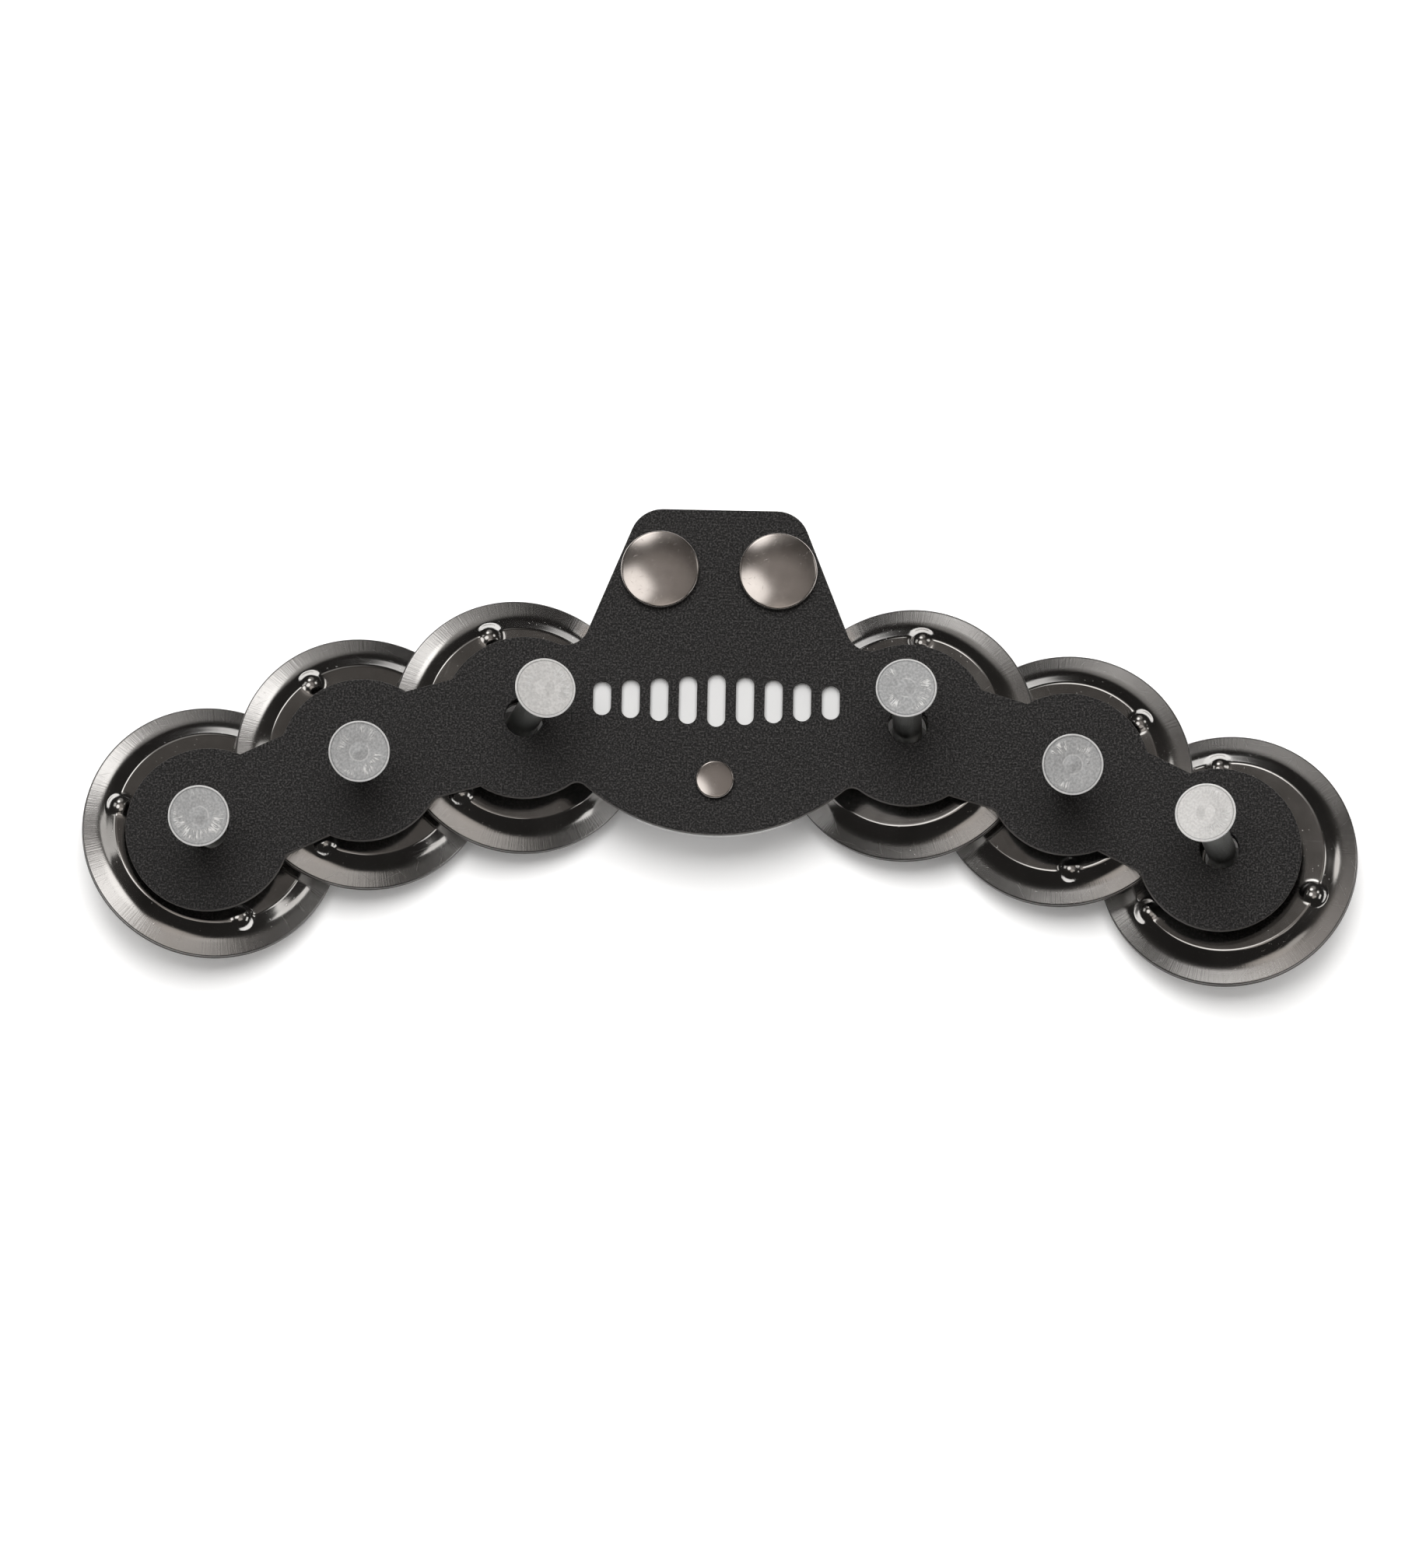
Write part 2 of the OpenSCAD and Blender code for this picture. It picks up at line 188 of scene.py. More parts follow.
# Materials
class Look:
    """Nodes of a material or world. add() makes one and feeds its sockets with values or links."""

    def __init__(self, holder):
        self.holder = holder
        holder.use_nodes = True
        self.tree = holder.node_tree
        self.tree.nodes.clear()
        self.spot = self.add("TexCoord").outputs

    def add(self, kind, feeds=None, **settings):
        node = self.tree.nodes.new("ShaderNode" + kind)
        for key, value in settings.items():
            setattr(node, key, value)
        for socket, value in (feeds or {}).items():
            if isinstance(value, bpy.types.NodeSocket):
                self.tree.links.new(value, node.inputs[socket])
            else:
                node.inputs[socket].default_value = value
        return node

    def noise(self, grain_mm, detail=2, where=None):
        """Noise with features of about that size."""
        return self.add("TexNoise", {"Vector": where or self.spot["Object"], "Detail": detail,
                                     "Scale": 1 / (grain_mm * MM)}).outputs["Fac"]

    def math(self, operation, a, b=0.0):
        return self.add("Math", {0: a, 1: b}, operation=operation).outputs[0]

    def band(self, value, low, high):
        """0 below low, 1 above high, smooth between."""
        return self.add("MapRange", {"Value": value, "From Min": low, "From Max": high},
                        interpolation_type="SMOOTHSTEP").outputs["Result"]

    def between(self, value, low, high):
        """A 0 to 1 value stretched to run from low to high."""
        return self.add("MapRange", {"Value": value, "To Min": low,
                                     "To Max": high}).outputs["Result"]

    def ramp(self, value, *stops):
        node = self.add("ValToRGB", {"Fac": value})
        marks = node.color_ramp.elements
        while len(marks) < len(stops):
            marks.new(0.5)
        for mark, (position, colour) in zip(marks, stops):
            mark.position = position
            mark.color = (*colour, 1)
        return node.outputs["Color"]

    def mix(self, share, a, b):
        node = self.add("Mix", {"Factor": share}, data_type="RGBA")
        for socket, value in ((6, a), (7, b)):
            if isinstance(value, bpy.types.NodeSocket):
                self.tree.links.new(value, node.inputs[socket])
            else:
                node.inputs[socket].default_value = (*value, 1)
        return node.outputs[2]

    def bump(self, height, depth_mm, strength=1.0, under=None):
        feeds = {"Height": height, "Distance": depth_mm * MM, "Strength": strength}
        if under:
            feeds["Normal"] = under
        return self.add("Bump", feeds).outputs["Normal"]

    def finish(self, **sockets):
        """Closes the material with a Principled shader; names use _ for spaces."""
        feeds = {key.replace("_", " "): value for key, value in sockets.items()}
        return self.close(self.add("BsdfPrincipled", feeds))

    def close(self, shader):
        self.add("OutputMaterial", {"Surface": shader.outputs[0]})
        return self.holder

    def own(self):
        """The piece's own coordinates, about its axis."""
        return self.add("Attribute", attribute_name="own").outputs["Vector"]

    def inside(self, value, low, high, soft):
        """1 between low and high, 0 outside, with soft ends."""
        return self.math("MULTIPLY", self.band(value, low, low + soft),
                         self.math("SUBTRACT", 1.0, self.band(value, high - soft, high)))

    def polar(self, where):
        """Angle, distance and height about the Z axis."""
        x, y, z = self.add("SeparateXYZ", {0: where}).outputs
        reach = self.math("SQRT", self.math("ADD", self.math("MULTIPLY", x, x),
                                            self.math("MULTIPLY", y, y)))
        return self.math("ARCTAN2", y, x), reach, z

    def streaks(self, along, across, height, length, width, detail=3):
        """Noise drawn out along one coordinate: brushing, turning marks or scratches."""
        where = self.add("CombineXYZ", {0: self.math("DIVIDE", along, length),
                                        1: self.math("DIVIDE", across, width),
                                        2: self.math("DIVIDE", height, OWN_STEP / 40)}).outputs[0]
        return self.add("TexNoise", {"Vector": where, "Scale": 1.0,
                                     "Detail": detail}).outputs["Fac"]

    def scratches(self, where, length_mm, width_mm, bearings=(20, 75, 140)):
        """Sparse straight hairlines at a few bearings: 1 on a line, 0 off it."""
        x, y, z = self.add("SeparateXYZ", {0: where}).outputs
        found = 0.0
        for bearing in bearings:
            c, s = math.cos(math.radians(bearing)), math.sin(math.radians(bearing))
            along = self.math("ADD", self.math("MULTIPLY", x, c), self.math("MULTIPLY", y, s))
            across = self.math("SUBTRACT", self.math("MULTIPLY", y, c),
                               self.math("MULTIPLY", x, s))
            line = self.streaks(along, across, z, length_mm * MM, width_mm * MM, 1)
            found = self.math("MAXIMUM", self.band(line, 0.73, 0.8), found)
        return found


def plate_black():
    look = Look(bpy.data.materials.new("plate_black"))
    grain = look.noise(0.3, detail=3)
    # Lighter specks stand in for the coat's tiny glints: painted glints in its colour.
    painted_glints = look.band(look.noise(0.38, detail=1), 0.6, 0.78)
    cloud = look.noise(9, detail=2)
    coat = look.ramp(grain, (0.34, (0.002, 0.0019, 0.0019)), (0.5, (0.0165, 0.016, 0.016)),
                     (0.66, (0.068, 0.0655, 0.065)))
    coat = look.mix(look.between(painted_glints, 0, 0.4), coat, (0.12, 0.115, 0.11))
    coat = look.mix(look.between(cloud, 0, 0.2), coat, (0.016, 0.0156, 0.0152))
    # Cut edges are drawn lighter: painted sheen on the edges.
    up = look.add("SeparateXYZ", {0: look.spot["Normal"]}).outputs[2]
    edge = look.math("SUBTRACT", 1.0, look.band(look.math("ABSOLUTE", up), 0.5, 0.93))
    # Ambient occlusion keeps that sheen off the hole walls round the pins, which stay dark: painted
    # shade.
    painted_shade_ao = look.add("AmbientOcclusion", {"Distance": 3 * MM}, samples=8).outputs["AO"]
    edge = look.math("MULTIPLY", edge, look.band(painted_shade_ao, 0.45, 0.75))
    colour = look.mix(look.math("MULTIPLY", edge, look.between(grain, 0.35, 1.0)), coat,
                      (0.095, 0.087, 0.08))
    normal = look.bump(grain, 0.05, 0.5)
    return look.finish(Base_Color=colour, Roughness=look.between(grain, 0.52, 0.74),
                       Specular_IOR_Level=0.4, Normal=normal)


def panel_white():
    look = Look(bpy.data.materials.new("panel_white"))
    fibre = look.noise(0.8, detail=3)
    stain = look.noise(14, detail=2)
    colour = look.ramp(stain, (0.3, (0.71, 0.71, 0.708)), (0.7, (0.77, 0.77, 0.768)))
    return look.finish(Base_Color=colour, Roughness=look.between(fibre, 0.45, 0.62),
                       Normal=look.bump(fibre, 0.02, 0.4))


def jingle_steel():
    look = Look(bpy.data.materials.new("jingle_steel"))
    own = look.own()
    angle, reach, height = look.polar(own)
    brushing = look.streaks(reach, angle, height, 6 * MM, 0.012)
    rings = look.streaks(angle, reach, height, 1.4, 0.22 * MM)
    smudge = look.noise(7, 4, own)
    pits = look.band(look.noise(0.5, 1, own), 0.73, 0.79)
    marks = look.scratches(own, 9, 0.12)
    lip = look.band(reach, LIP[0] * MM, LIP[1] * MM)
    cut = look.band(reach, CUT[0] * MM, CUT[1] * MM)
    colour = look.ramp(smudge, (0.3, (0.47, 0.455, 0.44)), (0.7, (0.63, 0.618, 0.602)))
    # The lip is drawn lighter than crown and shoulder: painted sheen; its brushing and roughness are
    # real.
    colour = look.mix(look.between(lip, 0, 0.7), colour, (0.78, 0.77, 0.76))
    colour = look.mix(look.between(pits, 0, 0.7), colour, (0.85, 0.84, 0.82))
    colour = look.mix(look.between(cut, 0, 0.85), colour, (0.06, 0.056, 0.052))
    rough = look.math("ADD", look.between(smudge, 0.07, 0.15), look.between(lip, 0, 0.13))
    rough = look.math("ADD", rough, look.between(look.math("MAXIMUM", marks, cut), 0, 0.1))
    normal = look.bump(look.math("MULTIPLY", brushing, lip), 0.03, 0.6)
    normal = look.bump(rings, 0.004, 0.35, normal)
    dents = look.math("ADD", marks, look.math("MULTIPLY", pits, 8.0))
    normal = look.bump(dents, 0.004, 0.22, normal)
    return look.finish(Base_Color=colour, Metallic=1.0, Roughness=rough, Normal=normal)


def zinc():
    look = Look(bpy.data.materials.new("zinc"))
    own = look.own()
    angle, reach, height = look.polar(own)
    turning = look.streaks(angle, reach, height, 1.1, 0.2 * MM)
    strokes = look.streaks(reach, angle, height, 1.1 * MM, 0.055, 2)
    patch = look.band(look.noise(3.4, 2, own), 0.46, 0.6)
    patch = look.math("MULTIPLY", patch, look.inside(reach, 2.2 * MM, 4.3 * MM, 0.5 * MM))
    strokes = look.math("MULTIPLY", look.band(strokes, 0.46, 0.56), patch)
    ring = look.math("MULTIPLY", look.inside(reach, 1.4 * MM, 1.75 * MM, 0.12 * MM),
                     look.band(look.noise(2.5, 1, own), 0.42, 0.58))
    line = look.inside(reach, 4.5 * MM, 4.72 * MM, 0.08 * MM)
    rim = look.band(reach, 4.72 * MM, 4.8 * MM)
    blotch = look.noise(0.4, 3, own)
    number = look.math("FLOOR", look.math("DIVIDE", height, OWN_STEP))
    tone = look.math("COSINE", look.math("MULTIPLY", 2 * math.pi / 3, number))
    colour = look.mix(look.band(tone, 0.0, 1.0), (0.48, 0.485, 0.49), (0.93, 0.915, 0.895))
    colour = look.mix(look.band(blotch, 0.3, 0.72), look.mix(0.25, colour, (0.14, 0.143, 0.147)),
                      look.mix(0.25, colour, (0.95, 0.95, 0.945)))
    colour = look.mix(look.math("MAXIMUM", strokes, look.between(ring, 0, 0.35)), colour,
                      (0.98, 0.975, 0.965))
    colour = look.mix(look.between(line, 0, 0.45), colour, (0.1, 0.102, 0.105))
    colour = look.mix(look.between(rim, 0, 0.75), colour, (0.97, 0.965, 0.955))
    # The shank is drawn darker than the head: painted shade.
    up = look.add("SeparateXYZ", {0: look.spot["Normal"]}).outputs[2]
    shank = look.math("SUBTRACT", 1.0, look.math("MAXIMUM", look.band(up, 0.5, 0.7),
                                                 look.band(reach, 2.5 * MM, 2.6 * MM)))
    colour = look.mix(shank, colour, (0.33, 0.335, 0.325))
    rough = look.math("ADD", look.between(blotch, 0.3, 0.48), look.between(turning, 0, 0.1))
    normal = look.bump(turning, 0.02, 0.5)
    normal = look.bump(strokes, 0.06, 0.8, normal)
    return look.finish(Base_Color=colour, Metallic=look.between(shank, 0.6, 1.0), Roughness=rough,
                       Normal=normal)


def washer_zinc():
    look = Look(bpy.data.materials.new("washer_zinc"))
    blotch = look.noise(0.9, 4)
    marks = look.scratches(look.spot["Object"], 2, 0.12)
    colour = look.ramp(blotch, (0.3, (0.4, 0.405, 0.405)), (0.7, (0.6, 0.605, 0.6)))
    rough = look.math("ADD", look.between(blotch, 0.28, 0.46), look.between(marks, 0, 0.15))
    return look.finish(Base_Color=colour, Metallic=0.7, Roughness=rough,
                       Normal=look.bump(look.math("ADD", blotch, marks), 0.01, 0.4))


def nickel():
    look = Look(bpy.data.materials.new("nickel"))
    smudge = look.noise(4, 4)
    grain = look.noise(0.3)
    marks = look.scratches(look.spot["Object"], 1.5, 0.12)
    colour = look.ramp(smudge, (0.3, (0.56, 0.515, 0.485)), (0.7, (0.66, 0.612, 0.58)))
    rough = look.math("ADD", look.between(smudge, 0.13, 0.2), look.between(marks, 0, 0.1))
    normal = look.bump(grain, 0.002, 0.25)
    normal = look.bump(marks, 0.005, 0.5, normal)
    return look.finish(Base_Color=colour, Metallic=1.0, Roughness=rough, Normal=normal)


def spring_steel():
    look = Look(bpy.data.materials.new("spring_steel"))
    drawn = look.noise(0.2, 3)
    colour = look.ramp(drawn, (0.3, (0.42, 0.42, 0.41)), (0.7, (0.56, 0.56, 0.55)))
    return look.finish(Base_Color=colour, Metallic=1.0, Roughness=look.between(drawn, 0.22, 0.4),
                       Normal=look.bump(drawn, 0.01, 0.4))


# Plate and panel
def outline_loops(name, height):
    """The closed outlines of a node's flat face at that height, as lists of (x, y)."""
    mesh = frame["nodes"][name].data
    mesh.calc_loop_triangles()
    points = node_points(name)
    corner = [tuple(np.round(p[:2], 4)) if abs(p[2] - height) < 0.001 else None for p in points]
    runs = {}
    for triangle in mesh.loop_triangles:
        a, b, c = (corner[k] for k in triangle.vertices)
        if None in (a, b, c):
            continue
        for start, end in ((a, b), (b, c), (c, a)):
            if runs.get(end) and start in runs[end]:
                runs[end].remove(start)
            else:
                runs.setdefault(start, []).append(end)
    loops = []
    while any(runs.values()):
        first = next(key for key, ends in runs.items() if ends)
        loop = [first]
        while True:
            following = runs[loop[-1]].pop()
            if following == first:
                break
            loop.append(following)
        loops.append(loop)
    return loops


def sheet(name, node, edge):
    """A node's flat sheet again, with its cut edges rounded."""
    low, high = (corner.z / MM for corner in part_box(node))
    curve = bpy.data.curves.new(name, "CURVE")
    curve.dimensions = "2D"
    curve.fill_mode = "BOTH"
    curve.extrude = ((high - low) / 2 - edge) * MM
    curve.bevel_depth = edge * MM
    curve.bevel_resolution = 2
    curve.offset = -edge * MM
    for loop in outline_loops(node, high):
        spline = curve.splines.new("POLY")
        spline.points.add(len(loop) - 1)
        for point, (x, y) in zip(spline.points, loop):
            point.co = (x * MM, y * MM, 0, 1)
        spline.use_cyclic_u = True
    drawn = bpy.data.objects.new(name + "_curve", curve)
    bpy.context.scene.collection.objects.link(drawn)
    solid = bpy.data.meshes.new_from_object(
        drawn.evaluated_get(bpy.context.evaluated_depsgraph_get()))
    bpy.data.objects.remove(drawn)
    solid.transform(Matrix.Translation((0, 0, (low + high) / 2 * MM)))
    solid.polygons.foreach_set("use_smooth", [True] * len(solid.polygons))
    solid.set_sharp_from_angle(angle=math.radians(32))
    piece = bpy.data.objects.new(name, solid)
    bpy.context.scene.collection.objects.link(piece)
    return piece


# Jingles
def monotone(xs, ys, at):
    """Smooth curve through the points that doesn't overshoot them."""
    xs, ys, at = np.asarray(xs, float), np.asarray(ys, float), np.asarray(at, float)
    run = np.diff(xs)
    rise = np.diff(ys) / run
    slope = np.concatenate(([rise[0]], np.zeros(len(xs) - 2), [rise[-1]]))
    for k in range(1, len(xs) - 1):
        if rise[k - 1] * rise[k] > 0:
            a, b = 2 * run[k] + run[k - 1], run[k] + 2 * run[k - 1]
            slope[k] = (a + b) / (a / rise[k - 1] + b / rise[k])
    k = np.clip(np.searchsorted(xs, at) - 1, 0, len(run) - 1)
    t = np.clip((at - xs[k]) / run[k], 0, 1)
    return (ys[k] * (1 + 2 * t) * (1 - t) ** 2 + slope[k] * run[k] * t * (1 - t) ** 2
            + ys[k + 1] * t * t * (3 - 2 * t) - slope[k + 1] * run[k] * t * t * (1 - t))


def jingle(name, radius, hole, height, seed, turns, **place):
    """Stamped jingle on its own axis, with the crown at zero and one bump along X."""
    crease = CREASE_SHARE * radius
    lip = radius - crease
    line = [(hole, 0)] + [(crease + a * lip, -b * height) for a, b in SHOULDER]
    shift = random.Random(seed)
    full = 2 * math.pi
    waves = [(shift.uniform(0.25, 0.9), shift.uniform(0, full), shift.uniform(0, full))
             for _ in range(WAVES)]

    def surface(r, turn):
        x, y = r * np.cos(turn), r * np.sin(turn)
        top = monotone(*zip(*line), r)
        for k in range(BUMPS):
            at = full * k / BUMPS
            away = np.hypot(x - BUMP_SHARE * radius * math.cos(at),
                            y - BUMP_SHARE * radius * math.sin(at)) / BUMP_BALL
            ball = np.sqrt(np.maximum(1 - away ** 2, BALL_LIMIT))
            ball = BUMP_HEIGHT - BUMP_BALL + BUMP_BALL * ball
            ball = np.where(away < 1, ball, ball - BUMP_FALL * (away - 1))
            top = 0.5 * (top + ball + np.sqrt((top - ball) ** 2 + BUMP_BLEND ** 2))
        wave = sum(np.cos(f * (x * math.cos(a) + y * math.sin(a)) + p) for f, a, p in waves)
        fade = np.clip((radius - r) / DENT_FADE, 0, 1)
        return top - DENT * 0.5 * (1 + wave / WAVES) * fade

    flat = FLAT_SHARE * radius
    face = list(np.linspace(hole + SHEET_EDGE, flat, FLAT_ROWS))
    face += list(np.linspace(flat, radius - SHEET_EDGE, OUTER_ROWS)[1:])
    soft = 0.3 * SHEET_EDGE
    rows = [(r, 0.0) for r in face]
    rows += [(radius - soft, soft), (radius, SHEET_EDGE), (radius, SHEET - SHEET_EDGE),
             (radius - soft, SHEET - soft)]
    rows += [(r, SHEET) for r in reversed(face)]
    rows += [(hole + soft, SHEET - soft), (hole, SHEET - SHEET_EDGE), (hole, SHEET_EDGE),
             (hole + soft, soft)]
    turn = np.linspace(0, full, turns, endpoint=False)
    verts = []
    for r, drop in rows:
        z = surface(np.full(turns, r), turn) - drop
        verts += list(zip(r * np.cos(turn), r * np.sin(turn), z))
    faces = []
    for row in range(len(rows)):
        here, there = row * turns, (row + 1) % len(rows) * turns
        for k in range(turns):
            n = (k + 1) % turns
            faces.append((here + k, there + k, there + n, here + n))
    return new_object(name, verts, faces, number=seed, sharp_angle=60, **place)


def jingle_pair(station, steel):
    """Both jingles of a station, measured from their nodes and set on their common axis."""
    spin = JOINTS[f"jingle_{station}_spin"]
    middle = np.array(spin["pos_m"]) / MM
    axis = np.array(Vector(spin["axis"]).normalized())
    for k, side in enumerate(("front", "rear")):
        node = f"{side}_jingle_{station}"
        reach = node_points(node) - middle
        along = reach @ axis
        top = reach[np.argmax(along)]
        turn = upright(axis, top - along.max() * axis)
        across = np.linalg.norm(reach - np.outer(along, axis), axis=1)
        crown = along.max() - CROWN_DROP
        piece = jingle(f"{side}_disc_{station}", across.max(), across.min(),
                       crown - along.min() - SHEET, 2 * station + k, JINGLE_POINTS[side],
                       origin=middle + crown * axis, turn=turn)
        dress(piece, steel, node, "jingle", node)


# Pins
def pin(station, metal):
    """A pin with a turned head, and its shank clinched at the foot."""
    node = f"pin_{station}"
    marks = PIN_TURN * station
    turn = upright(JOINTS[f"{node}_slide"]["axis"], (math.cos(marks), math.sin(marks), 0))
    local = node_points(node) @ np.array(turn)
    low, high = local.min(0), local.max(0)
    middle = (low + high) / 2
    length = high[2] - low[2] - HEAD_TRIM
    head = (high[0] - low[0]) / 2
    neck = length - HEAD_THICK
    foot = CLINCH / 2
    under = head - HEAD_TAPER - HEAD_UNDER
    face = head - HEAD_EDGE
    upper, lower, groove = length - 0.03, length - 0.05, length - 0.06
    profile = [(0, 0), (foot - CLINCH_EDGE, 0),
               *arc((foot - CLINCH_EDGE, CLINCH_EDGE), CLINCH_EDGE, -80, 0, 5),
               (foot, CLINCH_THICK - 0.1), (foot - 0.1, CLINCH_THICK), (SHANK / 2, CLINCH_THICK),
               (SHANK / 2, neck - NECK), *arc((SHANK / 2 + NECK, neck - NECK), NECK, 180, 90, 4),
               (under, neck), *arc((under, neck + HEAD_UNDER), HEAD_UNDER, -80, -30, 3),
               *arc((face, length - HEAD_EDGE), HEAD_EDGE, -25, 90, 9),
               (face - 0.15, upper), (face - 0.5, lower), (RING + 0.25, upper),
               (RING + 0.06, groove), (RING - 0.06, groove), (RING - 0.25, upper),
               (PIP, lower), (0.6 * PIP, length), (0, length)]
    piece = lathe(f"turned_{node}", profile, PIN_POINTS, turn=turn, number=station,
                  origin=turn @ Vector((middle[0], middle[1], low[2])))
    dress(piece, metal, node, "zinc", node)


# Caps
def cap(node, name, metal, rise):
    """A pressed cap: low dome over a rolled rim, with its post through the sheets."""
    low, high = (np.array(corner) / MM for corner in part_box(node))
    middle = (low + high) / 2
    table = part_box("front_plate")[1].z / MM
    radius = (high[0] - low[0]) / 2
    height = high[2] - table
    crown = radius - CAP_ROLL
    dome = rise * radius
    rim = height - dome
    points = node_points(node)
    post = np.abs(points[points[:, 2] < low[2] + 0.01][:, 0] - middle[0]).max()
    foot = low[2] - table
    share = [k / CAP_STEPS for k in range(CAP_STEPS + 1)]
    swell = [(crown * (1 - s), rim + dome * (1 - (1 - s) ** CAP_FLATNESS)) for s in share]
    profile = [(0, foot), (post - 0.1, foot), (post, foot + 0.1),
               (post, 0), (crown, 0), *arc((crown, CAP_ROLL), CAP_ROLL, -80, 0, 5),
               *arc((crown, rim - CAP_ROLL), CAP_ROLL, 0, 75, 8), *swell[1:]]
    piece = lathe(name, profile, CAP_POINTS, origin=(middle[0], middle[1], table))
    dress(piece, metal, "plate", "nickel", node)


# Stage
def floor_white():
    """Pale floor that thins out into the surroundings and shows white where nothing shades it; near
    and under the object its glow fades as painted shade.
    """
    look = Look(bpy.data.materials.new("floor_white"))
    reach = look.polar(look.spot["Object"])[1]
    away = look.band(reach, FLOOR_FADE[0] * MM, FLOOR_FADE[1] * MM)
    paper = look.ramp(look.noise(60), (0.3, (0.94, 0.94, 0.94)), (0.7, (0.96, 0.96, 0.96)))
    matt = look.add("BsdfDiffuse", {"Color": paper})
    ray = look.add("LightPath").outputs
    seen = look.math("MAXIMUM", ray["Is Camera Ray"],
                     look.math("MAXIMUM", ray["Is Glossy Ray"], ray["Is Transmission Ray"]))
    # Ambient occlusion dims the glow where the object hems the floor in: painted shade under and
    # around the object.
    painted_shade_ao = look.add("AmbientOcclusion", {"Distance": 30 * MM}, samples=4).outputs["AO"]
    seen = look.math("MULTIPLY", seen, look.band(painted_shade_ao, 0.15, 0.5))
    glow = look.add("Emission", {"Strength": look.math("MULTIPLY", seen, FLOOR_GLOW)})
    lit = look.add("AddShader", {0: matt.outputs[0], 1: glow.outputs[0]})
    clear = look.add("BsdfTransparent")
    return look.close(look.add("MixShader", {0: away, 1: lit.outputs[0], 2: clear.outputs[0]}))


def floor():
    corners = [(-FLOOR_HALF, -FLOOR_HALF, 0), (FLOOR_HALF, -FLOOR_HALF, 0),
               (FLOOR_HALF, FLOOR_HALF, 0), (-FLOOR_HALF, FLOOR_HALF, 0)]
    piece = new_object("floor", corners, [(0, 1, 2, 3)])
    piece.data.materials.append(floor_white())


def heading(bearing, elevation):
    """The direction at a bearing and an elevation; bearing 0 is +X, 90 is +Y."""
    flat = math.cos(math.radians(elevation))
    return Vector((flat * math.cos(math.radians(bearing)), flat * math.sin(math.radians(bearing)),
                   math.sin(math.radians(elevation))))


def softbox(name, bearing, elevation, distance, width, tall, radiance, colour):
    """A soft rectangle of light aimed at the object."""
    light = bpy.data.lights.new(name, "AREA")
    light.shape = "RECTANGLE"
    light.size, light.size_y = width, tall
    light.energy = radiance * math.pi * width * tall
    light.color = colour
    lamp = bpy.data.objects.new(name, light)
    way = heading(bearing, elevation)
    lamp.matrix_world = Matrix.LocRotScale(way * distance, upright(way, (-way.y, way.x, 0)), None)
    lamp.visible_camera = False
    bpy.context.scene.collection.objects.link(lamp)
    return lamp


def surroundings():
    """Pale horizon, dark walls, a dim warm ceiling that is darker at the front, pale patches."""
    look = Look(bpy.data.worlds.new("surroundings"))
    way = look.spot["Generated"]
    _, back, rise = look.add("SeparateXYZ", {0: way}).outputs
    ceiling = look.ramp(rise, (0.45, DARK), (0.8, (0.045, 0.042, 0.039)),
                        (0.9, (0.1, 0.092, 0.086)), (0.96, (0.27, 0.25, 0.236)))
    ceiling = look.mix(look.band(back, -0.45, 0.05), DARK, ceiling)
    room = look.mix(look.band(rise, 0.05, 0.08), (0.95, 0.95, 0.95), ceiling)
    for bearing, elevation, core, spread, colour in PATCHES:
        nearness = look.add("VectorMath", {0: way, 1: heading(bearing, elevation)},
                            operation="DOT_PRODUCT").outputs["Value"]
        patch = look.band(nearness, math.cos(math.radians(spread)),
                          math.cos(math.radians(core)))
        room = look.mix(patch, room, colour)
    glow = look.add("Background", {"Color": room})
    look.add("OutputWorld", {"Surface": glow.outputs[0]})
    bpy.context.scene.world = look.holder


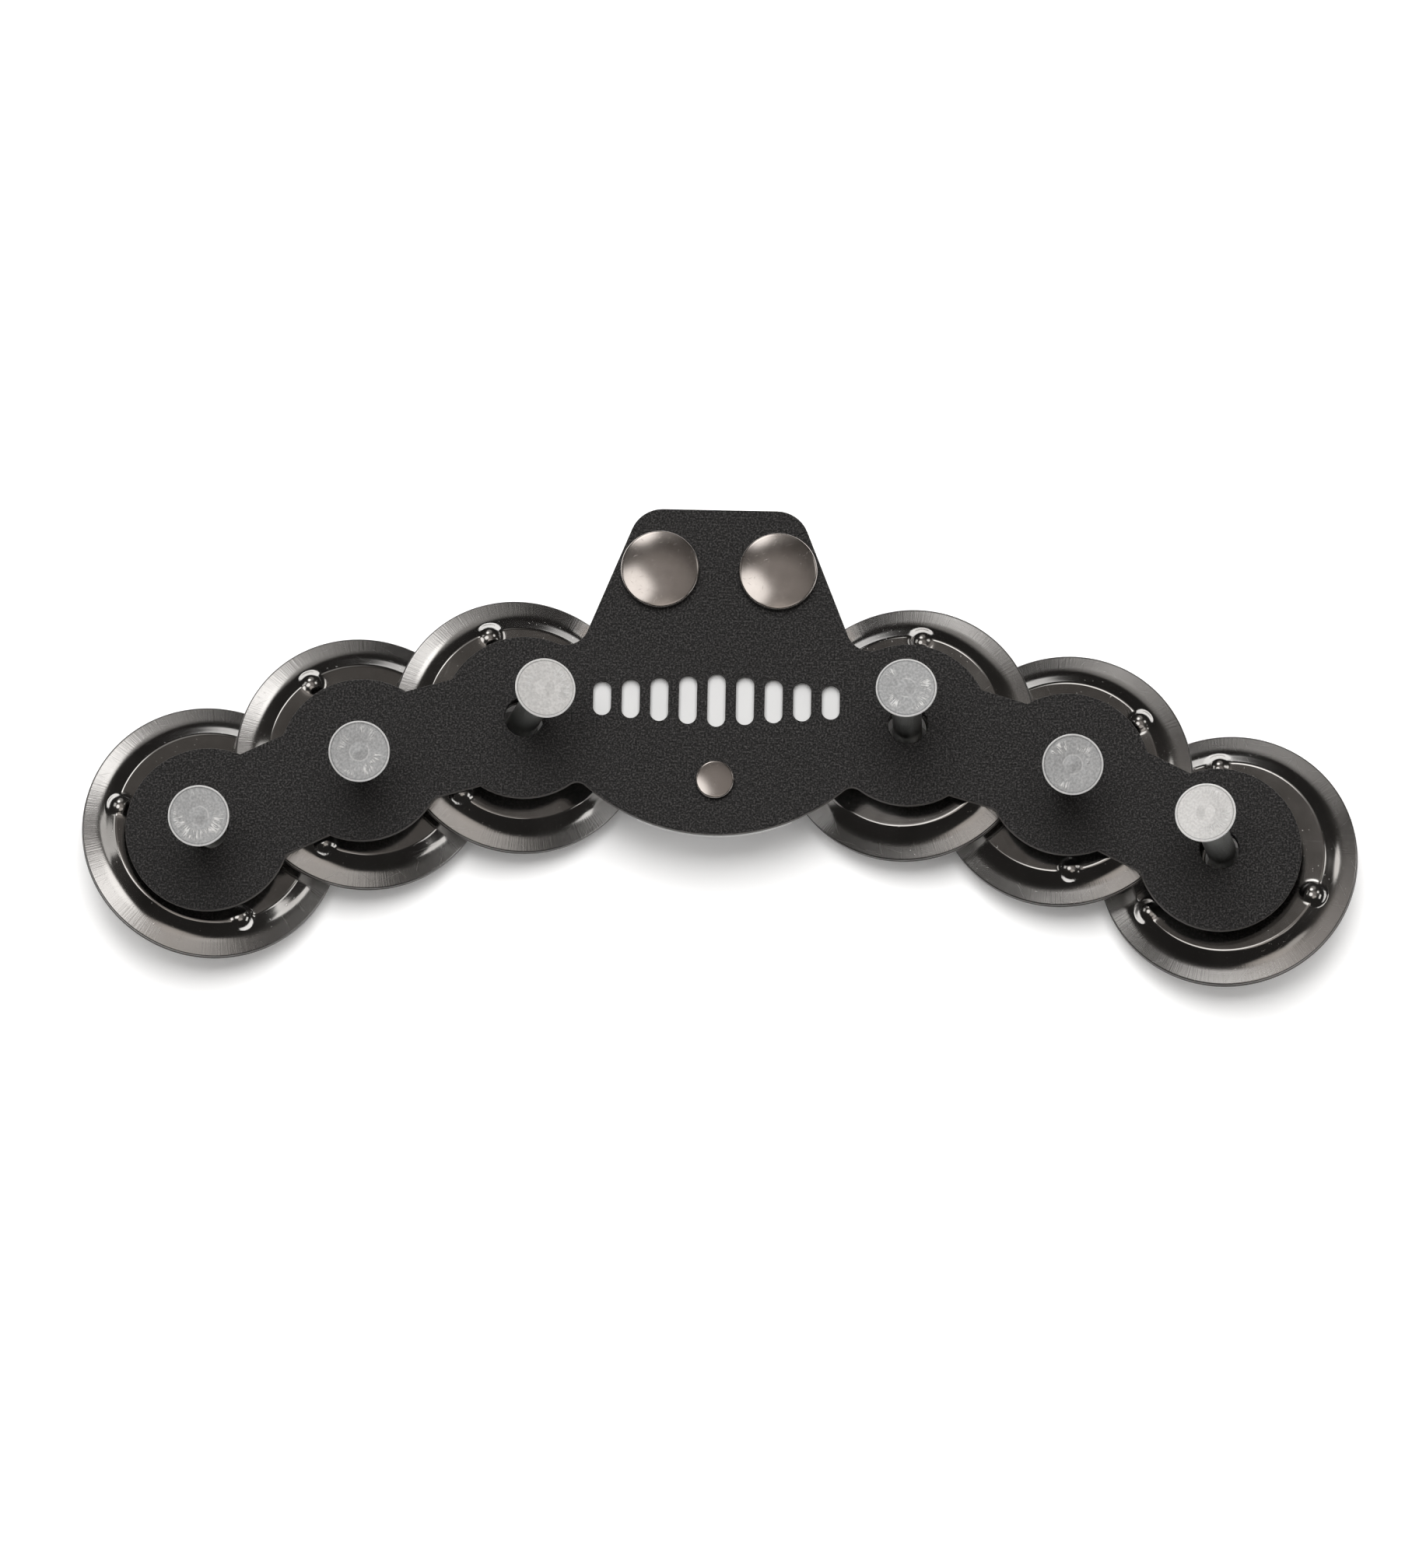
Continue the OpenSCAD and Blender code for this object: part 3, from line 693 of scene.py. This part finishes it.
def camera():
    """The photograph's view: nearly from above, a little from the front, rolled slightly."""
    tilt, roll = math.radians(11), math.radians(1.15)
    distance, image_height, focal_px = 1.0, 2016, 7750
    look_at = Vector((-1.34, -7.76, 14.3)) * MM
    lens = bpy.data.cameras.new("camera")
    lens.lens = lens.sensor_width * focal_px / image_height
    eye = bpy.data.objects.new("camera", lens)
    back = Vector((0, -math.sin(tilt), math.cos(tilt)))
    rise = Vector((0, math.cos(tilt), math.sin(tilt)))
    right = Vector((math.cos(roll), 0, 0)) + math.sin(roll) * rise
    up = Vector((-math.sin(roll), 0, 0)) + math.cos(roll) * rise
    eye.matrix_world = Matrix.LocRotScale(look_at + distance * back,
                                          Matrix((right, up, back)).transposed(), None)
    bpy.context.scene.collection.objects.link(eye)
    bpy.context.scene.camera = eye


# Assembly
BLACK, WHITE, STEEL = plate_black(), panel_white(), jingle_steel()
ZINC, WASHER, NICKEL, SPRING = zinc(), washer_zinc(), nickel(), spring_steel()

dress(sheet("plate_sheet", "front_plate", PLATE_EDGE), BLACK, "plate", "plate", "front_plate")
dress(sheet("panel_sheet", "backing_panel", PANEL_EDGE), WHITE, "plate", "panel", "backing_panel")
for station in STATIONS:
    jingle_pair(station, STEEL)
    pin(station, ZINC)
cap("left_stud_cap", "left_dome", NICKEL, CAP_RISE)
cap("right_stud_cap", "right_dome", NICKEL, CAP_RISE)
cap("rivet_cap", "rivet_dome", NICKEL, RIVET_RISE)

CARRIED = {"left_stud_socket": NICKEL, "right_stud_socket": NICKEL, "rivet_back": NICKEL,
           "left_socket_ring": SPRING, "right_socket_ring": SPRING,
           **{f"pin_washer_{station}": WASHER for station in STATIONS}}
for name, material in CARRIED.items():
    shown = frame["nodes"][name]
    shown.data.materials.clear()
    shown.data.materials.append(material)

floor()
surroundings()
softbox("left_box", bearing=163, elevation=44, distance=1.1, width=0.42, tall=0.3, radiance=0.7,
        colour=(1.0, 0.985, 0.965))
softbox("right_box", bearing=-14, elevation=34, distance=1.1, width=0.5, tall=0.26, radiance=1.1,
        colour=(1.0, 0.99, 0.975))
back_box = softbox("back_box", bearing=92, elevation=70, distance=1.2, width=0.8, tall=0.8,
                   radiance=7.0, colour=(1.0, 0.997, 0.993))
back_box.visible_glossy = False
camera()
bpy.context.scene.view_settings.view_transform = "Standard"
